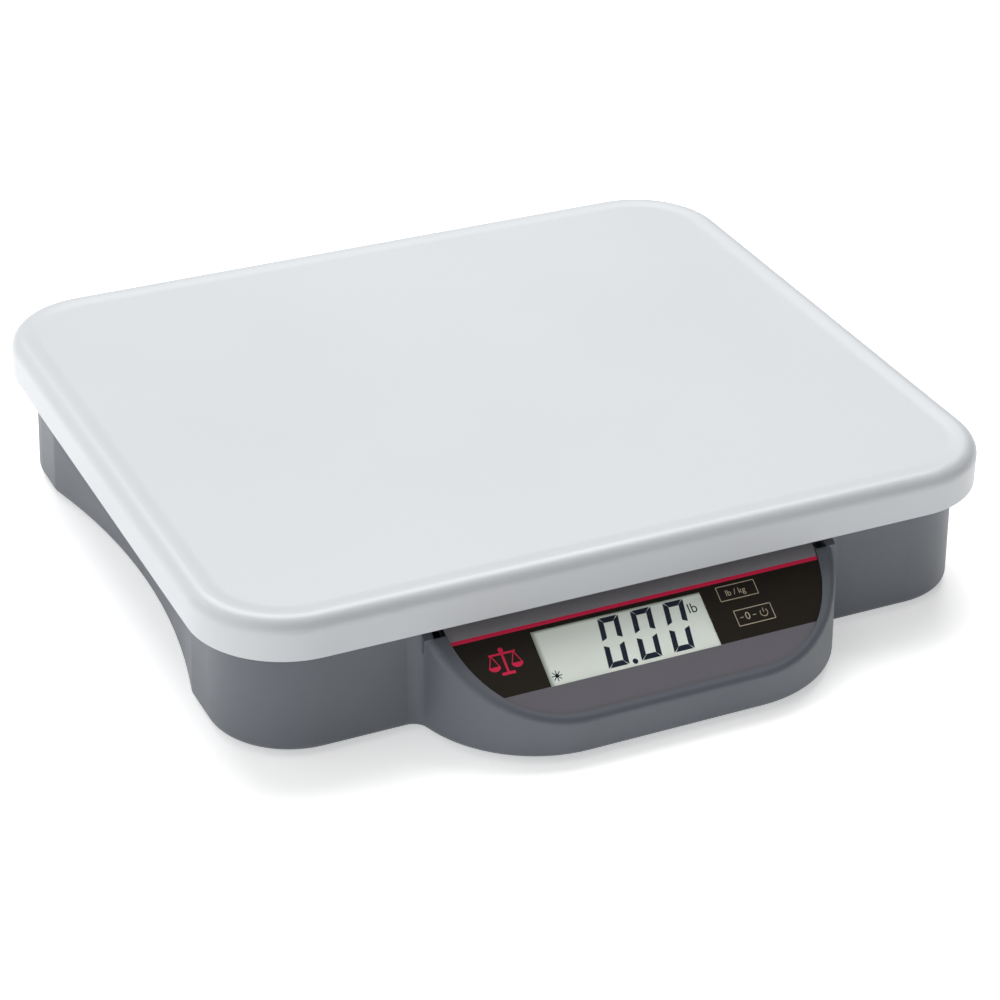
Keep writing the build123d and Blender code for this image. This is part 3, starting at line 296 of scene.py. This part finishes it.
# ------------------------------------------------------------------ liquid crystal display
# A twisted-nematic glass with a satin polariser: pale green-grey, with a painted shade along its left and
# top edges where the frame would shade it. It sits flush under the overlay on a black foam gasket.
PANEL_TILT = math.radians(32.85)
PANEL_AHEAD = 0.9 * MM  # platform front to the panel's reference line
PANEL_BELOW = 7.9 * MM  # platform's lower edge to the same line
DOWN_SLOPE = Vector((0, -math.cos(PANEL_TILT), -math.sin(PANEL_TILT)))
OUT_OF_PANEL = Vector((0, -math.sin(PANEL_TILT), math.cos(PANEL_TILT)))
PANEL_LINE = Vector((0, cover_low.y - PANEL_AHEAD, cover_low.z - PANEL_BELOW))
TO_PANEL = Matrix.Translation(PANEL_LINE) @ Matrix(
    (Vector((1, 0, 0)), -DOWN_SLOPE, OUT_OF_PANEL)).transposed().to_4x4()
WINDOW_X = (-44.8, 24.1)  # mm, from the middle
WINDOW_S = (1.15, 23.5)  # mm, down the slope from the reference line
PAINTED_SHADE_LEFT, PAINTED_SHADE_TOP = 2.6, 1.2  # mm of glass at the left and top edges that get painted shade, where the frame would shade it
gasket_foam = moulded_plastic("closed_cell_foam", "#0E0E0F", "#151516", 0.9, 0.6 * MM, 0.05 * MM, 5 * MM)
dress(gasket_foam, "display_gasket")

polariser, tree, shader, place = new_finish("satin_polariser_on_glass")
turned = add(tree, "ShaderNodeMapping", {"Vector": place, "Location": PANEL_LINE,
                                         "Rotation": (PANEL_TILT, 0, 0)}, vector_type="TEXTURE")
across = add(tree, "ShaderNodeSeparateXYZ", {"Vector": turned.outputs["Vector"]})
# painted shade: over these widths the glass colour falls to a darker green-grey at its left and top edges
from_left = add(tree, "ShaderNodeMapRange",
                {"Value": across.outputs["X"], "From Min": WINDOW_X[0] * MM,
                 "From Max": (WINDOW_X[0] + PAINTED_SHADE_LEFT) * MM}, interpolation_type="SMOOTHSTEP")
from_top = add(tree, "ShaderNodeMapRange",
               {"Value": across.outputs["Y"], "From Min": -WINDOW_S[0] * MM,
                "From Max": -(WINDOW_S[0] + PAINTED_SHADE_TOP) * MM}, interpolation_type="SMOOTHSTEP")
outside_painted_shade = add(tree, "ShaderNodeMath", {0: from_left.outputs["Result"], 1: from_top.outputs["Result"]},
          operation="MULTIPLY")
drift = add(tree, "ShaderNodeTexNoise", {"Vector": place, "Scale": 1 / (14 * MM), "Detail": 1.0})
pale = add(tree, "ShaderNodeMix", {"Factor": drift.outputs["Fac"]}, data_type="RGBA")
pale.inputs["A"].default_value = linear("#ECF3EA")
pale.inputs["B"].default_value = linear("#F0F6EE")
tone = add(tree, "ShaderNodeMix", {"Factor": outside_painted_shade.outputs["Value"]}, data_type="RGBA")
# the darker green-grey of the painted edge shade
tone.inputs["A"].default_value = linear("#A2AB9E")
tree.links.new(pale.outputs["Result"], tone.inputs["B"])
tree.links.new(tone.outputs["Result"], shader.inputs["Base Color"])
shader.inputs["Roughness"].default_value = 0.4
shader.inputs["Specular IOR Level"].default_value = 0.3
dress(polariser, "lcd_front_glass", "lcd_rear_glass")

# ------------------------------------------------------------------ display segments
# The crystal's dark segments: three seven-segment noughts with mitred ends, leaning to the right. Only
# the lit ones show, so the middle bar isn't there.
DIGITS = {"Count": 3, "Pitch": 13.27 * MM, "Width": 8.3 * MM, "Height": 19.7 * MM, "Stroke": 2.1 * MM,
          "Gap": 0.35 * MM, "Slant": 0.153, "Thickness": 0.01 * MM}
DIGITS_AT = (-2.15, 12.0)  # x, s of the middle digit
SEGMENT_DEPTH = 0.59  # mm under the overlay's face, on the glass

ink, tree, shader, place = new_finish("darkened_liquid_crystal")
drift = add(tree, "ShaderNodeTexNoise", {"Vector": place, "Scale": 1 / (3 * MM), "Detail": 1.0})
tone = add(tree, "ShaderNodeMix", {"Factor": drift.outputs["Fac"]}, data_type="RGBA")
tone.inputs["A"].default_value = linear("#121A2B")
tone.inputs["B"].default_value = linear("#1D2536")
tree.links.new(tone.outputs["Result"], shader.inputs["Base Color"])
shader.inputs["Roughness"].default_value = 0.4
shader.inputs["Specular IOR Level"].default_value = 0.15

tree = bpy.data.node_groups.new("segment_noughts", "GeometryNodeTree")
tree.interface.new_socket("Geometry", in_out="OUTPUT", socket_type="NodeSocketGeometry")
for name, value in DIGITS.items():
    whole = isinstance(value, int)
    kind = "NodeSocketInt" if whole else "NodeSocketFloat"
    made = tree.interface.new_socket(name, in_out="INPUT", socket_type=kind)
    made.default_value = value
size = add(tree, "NodeGroupInput").outputs


def maths(operation, a, b):
    """The result socket of one sum in the tree being built."""
    return add(tree, "ShaderNodeMath", {0: a, 1: b}, operation=operation).outputs["Value"]


half_width = maths("MULTIPLY", size["Width"], 0.5)
half_height = maths("MULTIPLY", size["Height"], 0.5)
half_stroke = maths("MULTIPLY", size["Stroke"], 0.5)
bar_outer = maths("SUBTRACT", size["Width"], maths("MULTIPLY", size["Gap"], 2.8))
bar_inner = maths("SUBTRACT", bar_outer, maths("MULTIPLY", size["Stroke"], 1.8))
bar = add(tree, "GeometryNodeCurvePrimitiveQuadrilateral",
          {"Height": size["Stroke"], "Bottom Width": bar_inner, "Top Width": bar_outer, "Offset": 0.0},
          mode="TRAPEZOID")
bar_mesh = add(tree, "GeometryNodeFillCurve", {"Curve": bar.outputs["Curve"]})
bar_place = add(tree, "ShaderNodeCombineXYZ", {"Y": maths("SUBTRACT", half_height, half_stroke)})
top_bar = add(tree, "GeometryNodeTransform", {"Geometry": bar_mesh.outputs["Mesh"],
                                              "Translation": bar_place.outputs["Vector"]})
parts = [top_bar.outputs["Geometry"]]
side_outer = maths("SUBTRACT", half_height, maths("MULTIPLY", size["Gap"], 2.4))
side_inner = maths("SUBTRACT", side_outer, maths("MULTIPLY", size["Stroke"], 1.35))
side_x = maths("SUBTRACT", half_width, half_stroke)
side_y = maths("MULTIPLY", half_height, 0.5)
lean = maths("MULTIPLY", size["Stroke"], 0.22)
for turn, sign in ((-math.pi / 2, 1), (math.pi / 2, -1)):
    side = add(tree, "GeometryNodeCurvePrimitiveQuadrilateral",
               {"Height": size["Stroke"], "Bottom Width": side_inner, "Top Width": side_outer,
                "Offset": maths("MULTIPLY", lean, -sign)}, mode="TRAPEZOID")
    side_mesh = add(tree, "GeometryNodeFillCurve", {"Curve": side.outputs["Curve"]})
    side_place = add(tree, "ShaderNodeCombineXYZ", {"X": maths("MULTIPLY", side_x, sign), "Y": side_y})
    parts.append(add(tree, "GeometryNodeTransform",
                     {"Geometry": side_mesh.outputs["Mesh"], "Translation": side_place.outputs["Vector"],
                      "Rotation": (0, 0, turn)}).outputs["Geometry"])
half_digit = add(tree, "GeometryNodeJoinGeometry")
for part in parts:
    tree.links.new(part, half_digit.inputs["Geometry"])
number = add(tree, "GeometryNodeInputIndex").outputs["Index"]
both = add(tree, "GeometryNodeMeshLine", {"Count": 2, "Offset": (0, 0, 0)})
half_turn = add(tree, "ShaderNodeCombineXYZ", {"Z": maths("MULTIPLY", number, math.pi)})
digit = add(tree, "GeometryNodeInstanceOnPoints", {"Points": both.outputs["Mesh"],
                                                   "Instance": half_digit.outputs["Geometry"],
                                                   "Rotation": half_turn.outputs["Vector"]})
step = add(tree, "ShaderNodeCombineXYZ", {"X": size["Pitch"]})
first_x = maths("MULTIPLY", size["Pitch"], maths("MULTIPLY", maths("SUBTRACT", size["Count"], 1), -0.5))
row = add(tree, "GeometryNodeMeshLine", {"Count": size["Count"], "Offset": step.outputs["Vector"],
                                         "Start Location": add(tree, "ShaderNodeCombineXYZ",
                                                               {"X": first_x}).outputs["Vector"]})
digits = add(tree, "GeometryNodeInstanceOnPoints", {"Points": row.outputs["Mesh"],
                                                    "Instance": digit.outputs["Instances"]})
real = add(tree, "GeometryNodeRealizeInstances", {"Geometry": digits.outputs["Instances"]})
position = add(tree, "GeometryNodeInputPosition").outputs["Position"]
height = add(tree, "ShaderNodeSeparateXYZ", {"Vector": position})
shear = add(tree, "ShaderNodeCombineXYZ", {"X": maths("MULTIPLY", height.outputs["Y"], size["Slant"])})
leaning = add(tree, "GeometryNodeSetPosition", {"Geometry": real.outputs["Geometry"],
                                                "Offset": shear.outputs["Vector"]})
thick = add(tree, "GeometryNodeExtrudeMesh", {"Mesh": leaning.outputs["Geometry"],
                                              "Offset Scale": size["Thickness"]}, mode="FACES")
coated = add(tree, "GeometryNodeSetMaterial", {"Geometry": thick.outputs["Mesh"], "Material": ink})
add(tree, "NodeGroupOutput", {"Geometry": coated.outputs["Geometry"]})


def grown(tree, name):
    """The plain mesh that a Geometry Nodes tree makes."""
    seed = bpy.data.objects.new(name, bpy.data.meshes.new(name))
    scene.collection.objects.link(seed)
    seed.modifiers.new(name, "NODES").node_group = tree
    result = bpy.data.meshes.new_from_object(seed.evaluated_get(bpy.context.evaluated_depsgraph_get()))
    bpy.data.objects.remove(seed)
    return result


def on_panel(mesh, x, s, depth):
    """Lays a flat mesh, drawn in metres on XY, on the panel at x, s and a depth in mm."""
    mesh.transform(TO_PANEL @ Matrix.Translation((x * MM, -s * MM, -depth * MM)))
    return mesh


noughts = on_panel(grown(tree, "display_digits"), *DIGITS_AT, SEGMENT_DEPTH)
new_piece("display_digits", noughts, "base", "lcd_glass")

# ------------------------------------------------------------------ decimal point, settled star and unit
# The display's other segments: a round point, the star that shows a settled reading, and the unit.
POINT_AT, POINT_R = (-10.3, 21.4), 1.05
STAR_AT, STAR_R, STAR_STROKE = (-41.0, 19.7), 2.1, 0.34
UNIT_AT, UNIT_SIZE = (17.0, 8.4), 5.6


def flat_mesh(name, outlines, thickness=0.01):
    """Thin plates from closed outlines of (x, y) in mm."""
    shape = bmesh.new()
    for outline in outlines:
        face = shape.faces.new([shape.verts.new((x * MM, y * MM, 0)) for x, y in outline])
        face.normal_update()
        if face.normal.z < 0:
            face.normal_flip()
    made = bmesh.ops.extrude_face_region(shape, geom=shape.faces[:])
    lifted = [v for v in made["geom"] if isinstance(v, bmesh.types.BMVert)]
    bmesh.ops.translate(shape, verts=lifted, vec=(0, 0, thickness * MM))
    bmesh.ops.recalc_face_normals(shape, faces=shape.faces[:])
    mesh = bpy.data.meshes.new(name)
    shape.to_mesh(mesh)
    shape.free()
    return mesh


def disc(x, y, radius, steps=40):
    """A circle as an outline."""
    return [(x + radius * math.cos(2 * math.pi * i / steps), y + radius * math.sin(2 * math.pi * i / steps))
            for i in range(steps)]


def stroke(a, b, width):
    """A straight stroke as an outline."""
    along = (Vector(b) - Vector(a)).normalized()
    aside = Vector((-along.y, along.x)) * width / 2
    return [tuple(Vector(p) + side * aside) for p, side in ((a, 1), (a, -1), (b, -1), (b, 1))]


def text_mesh(name, words, size, lean=0.0):
    """Generic lettering as a thin flat mesh, size in mm."""
    curve = bpy.data.curves.new(name, "FONT")
    curve.body, curve.size, curve.shear, curve.extrude = words, size * MM, lean, 0.005 * MM
    holder = bpy.data.objects.new(name, curve)
    scene.collection.objects.link(holder)
    mesh = bpy.data.meshes.new_from_object(holder.evaluated_get(bpy.context.evaluated_depsgraph_get()))
    bpy.data.objects.remove(holder)
    return mesh


rays = [stroke((-STAR_R * math.cos(a), -STAR_R * math.sin(a)), (STAR_R * math.cos(a), STAR_R * math.sin(a)),
               STAR_STROKE) for a in (math.pi * i / 4 for i in range(4))]
star = flat_mesh("settled_star", rays + [disc(0, 0, 0.75, 20)])
new_piece("settled_star", on_panel(star, *STAR_AT, SEGMENT_DEPTH), "base", "lcd_glass", ink)
point = flat_mesh("decimal_point", [disc(0, 0, POINT_R)])
new_piece("decimal_point", on_panel(point, *POINT_AT, SEGMENT_DEPTH), "base", "lcd_glass", ink)
unit = text_mesh("unit_letters", "lb", UNIT_SIZE)
unit.materials.clear()
new_piece("unit_letters", on_panel(unit, *UNIT_AT, SEGMENT_DEPTH), "base", "lcd_glass", ink)

# ------------------------------------------------------------------ display window
# Clear acrylic, glued into the overlay. It is thin, so it shows as a faint gloss over the display.
clear, tree, shader, place = new_finish("clear_cast_acrylic")
shader.inputs["Base Color"].default_value = linear("#F4F8F5")
shader.inputs["Transmission Weight"].default_value = 1.0
scratch = add(tree, "ShaderNodeTexNoise", {"Vector": place, "Scale": 1 / (5 * MM), "Detail": 4.0})
gloss = add(tree, "ShaderNodeMapRange", {"Value": scratch.outputs["Fac"], "To Min": 0.05, "To Max": 0.14})
tree.links.new(gloss.outputs["Result"], shader.inputs["Roughness"])
shader.inputs["IOR"].default_value = 1.49
shader.inputs["Alpha"].default_value = 0.08
dress(clear, "display_window")

# ------------------------------------------------------------------ printed overlay
# One sheet of polyester, printed on its back and glued over the bezel: a strip along the top, its grey
# painted lighter as painted light against the platform's shade, a crimson line, a near-black field for the
# display and keys, then warm grey. Its face is finely textured.
LINE_S = (-1.8, -0.3)  # crimson line, mm down the slope
FIELD_END = 23.4


def printed_film(name, colour, shade):
    """Ink behind textured polyester: even colour under a soft, fine sheen."""
    made, tree, shader, place = new_finish(name)
    ink_drift = add(tree, "ShaderNodeTexNoise", {"Vector": place, "Scale": 1 / (25 * MM), "Detail": 2.0})
    texture = add(tree, "ShaderNodeTexNoise", {"Vector": place, "Scale": 1 / (0.35 * MM), "Detail": 1.0})
    tone = add(tree, "ShaderNodeMix", {"Factor": ink_drift.outputs["Fac"]}, data_type="RGBA")
    tone.inputs["A"].default_value = linear(colour)
    tone.inputs["B"].default_value = linear(shade)
    bump = add(tree, "ShaderNodeBump", {"Height": texture.outputs["Fac"], "Strength": 0.2,
                                        "Distance": 0.01 * MM})
    tree.links.new(tone.outputs["Result"], shader.inputs["Base Color"])
    tree.links.new(bump.outputs["Normal"], shader.inputs["Normal"])
    shader.inputs["Roughness"].default_value = 0.45
    shader.inputs["Specular IOR Level"].default_value = 0.2
    return made


warm_grey = printed_film("overlay_warm_grey_ink", "#69676D", "#656369")
# painted light: the top strip's grey is lighter than the rest of the grey to offset the shade under the
# platform
lightened_grey = printed_film("overlay_grey_ink_painted_lighter", "#8B898E", "#868489")
crimson = printed_film("overlay_crimson_ink", "#E0244F", "#D8204B")
near_black = printed_film("overlay_near_black_ink", "#191309", "#1C160C")
tan = printed_film("overlay_tan_ink", "#B9AE98", "#AFA48E")
dress(near_black, "units_key_pad", "zero_key_pad")

shape = bmesh.new()
shape.from_mesh(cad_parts["panel_film"].data)
bmesh.ops.remove_doubles(shape, verts=shape.verts[:], dist=0.001 * MM)
for s in (*LINE_S, FIELD_END):
    bmesh.ops.bisect_plane(shape, geom=shape.verts[:] + shape.edges[:] + shape.faces[:], dist=1e-7,
                           plane_co=PANEL_LINE + DOWN_SLOPE * s * MM, plane_no=DOWN_SLOPE)
for face in shape.faces:
    s = (face.calc_center_median() - PANEL_LINE).dot(DOWN_SLOPE) / MM
    face.material_index = 3 if s < LINE_S[0] else 1 if s < LINE_S[1] else 2 if s < FIELD_END else 0
    face.smooth = False
overlay_mesh = bpy.data.meshes.new("overlay")
shape.to_mesh(overlay_mesh)
shape.free()
overlay = new_piece("overlay", overlay_mesh, "base", "printed_overlay",
                    warm_grey, crimson, near_black, lightened_grey)
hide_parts("panel_film")

# ------------------------------------------------------------------ key legends
# Tan ink round each key, with generic signs: pounds and kilograms on one, nought and on-off on the other.
KEYS = {"units_key": ((38.5, 4.25), (16.2, 6.3)), "zero_key": ((41.3, 15.0), (15.6, 6.8))}
FRAME_INSET, FRAME_LINE, SIGN_LINE = 0.25, 0.32, 0.28
PRINT_DEPTH = -0.005
ON_OFF_X, ON_OFF_R = 3.9, 1.5
DASHES = ((-6.0, -4.6), (-0.8, 0.6))
WORDS = {"units_key": ("lb / kg", 3.4, -5.0), "zero_key": ("0", 4.2, -3.9)}  # words, size, start
for key, (middle, (width, length)) in KEYS.items():
    x, y = width / 2 - FRAME_INSET, length / 2 - FRAME_INSET
    corners = [(-x, -y), (x, -y), (x, y), (-x, y)]
    lines = [stroke(corners[i], corners[(i + 1) % 4], FRAME_LINE) for i in range(4)]
    if key == "zero_key":
        lines += [stroke((ON_OFF_X, 0.2), (ON_OFF_X, 1.9), SIGN_LINE)]
        turns = [math.radians(a) for a in range(40, 325, 15)]
        ring = [(ON_OFF_X + ON_OFF_R * math.sin(a), ON_OFF_R * math.cos(a)) for a in turns]
        lines += [stroke(a, b, SIGN_LINE) for a, b in zip(ring, ring[1:])]
        lines += [stroke((start, 0), (end, 0), SIGN_LINE) for start, end in DASHES]
    legend = flat_mesh(f"{key}_legend", lines)
    new_piece(f"{key}_legend", on_panel(legend, *middle, PRINT_DEPTH), key, "key_overlay", tan)
    sign_words, size, start = WORDS[key]
    words = text_mesh(f"{key}_letters", sign_words, size)
    words.materials.clear()
    at = (middle[0] + start, middle[1] + 1.2)
    new_piece(f"{key}_letters", on_panel(words, *at, PRINT_DEPTH), key, "key_overlay", tan)

# ------------------------------------------------------------------ balance sign
# A generic beam balance printed in crimson at the left of the near-black field.
SIGN_AT = (-58.0, 9.6)
sign = [stroke((-2.6, -4.9), (2.6, -4.9), 1.1), stroke((0, -4.6), (0, 3.6), 0.9), disc(0, 4.3, 1.0, 24),
        stroke((-5.2, 2.9), (5.2, 2.9), 0.8)]
for side in (-1, 1):
    pan = [(side * 4.4 + 2.3 * math.cos(math.radians(a)), -1.6 + 1.9 * math.sin(math.radians(a)))
           for a in range(180, 361, 12)]
    sign += [pan, stroke((side * 4.4, 2.9), (side * 4.4 - 1.9, -1.6), 0.35),
             stroke((side * 4.4, 2.9), (side * 4.4 + 1.9, -1.6), 0.35)]
balance = flat_mesh("balance_sign", sign)
new_piece("balance_sign", on_panel(balance, *SIGN_AT, PRINT_DEPTH), "base", "printed_overlay", crimson)

# ------------------------------------------------------------------ platform cover
# The lift-off weighing platform: injection-moulded ABS in off-white from a satin-polished tool, with a
# soft gloss and a barely visible grain.
white_abs = moulded_plastic("moulded_white_abs", "#C5C8CB", "#C2C5C8", 0.38, 0.6 * MM, 0.006 * MM, 90 * MM)
dress(white_abs, "platform_cover")
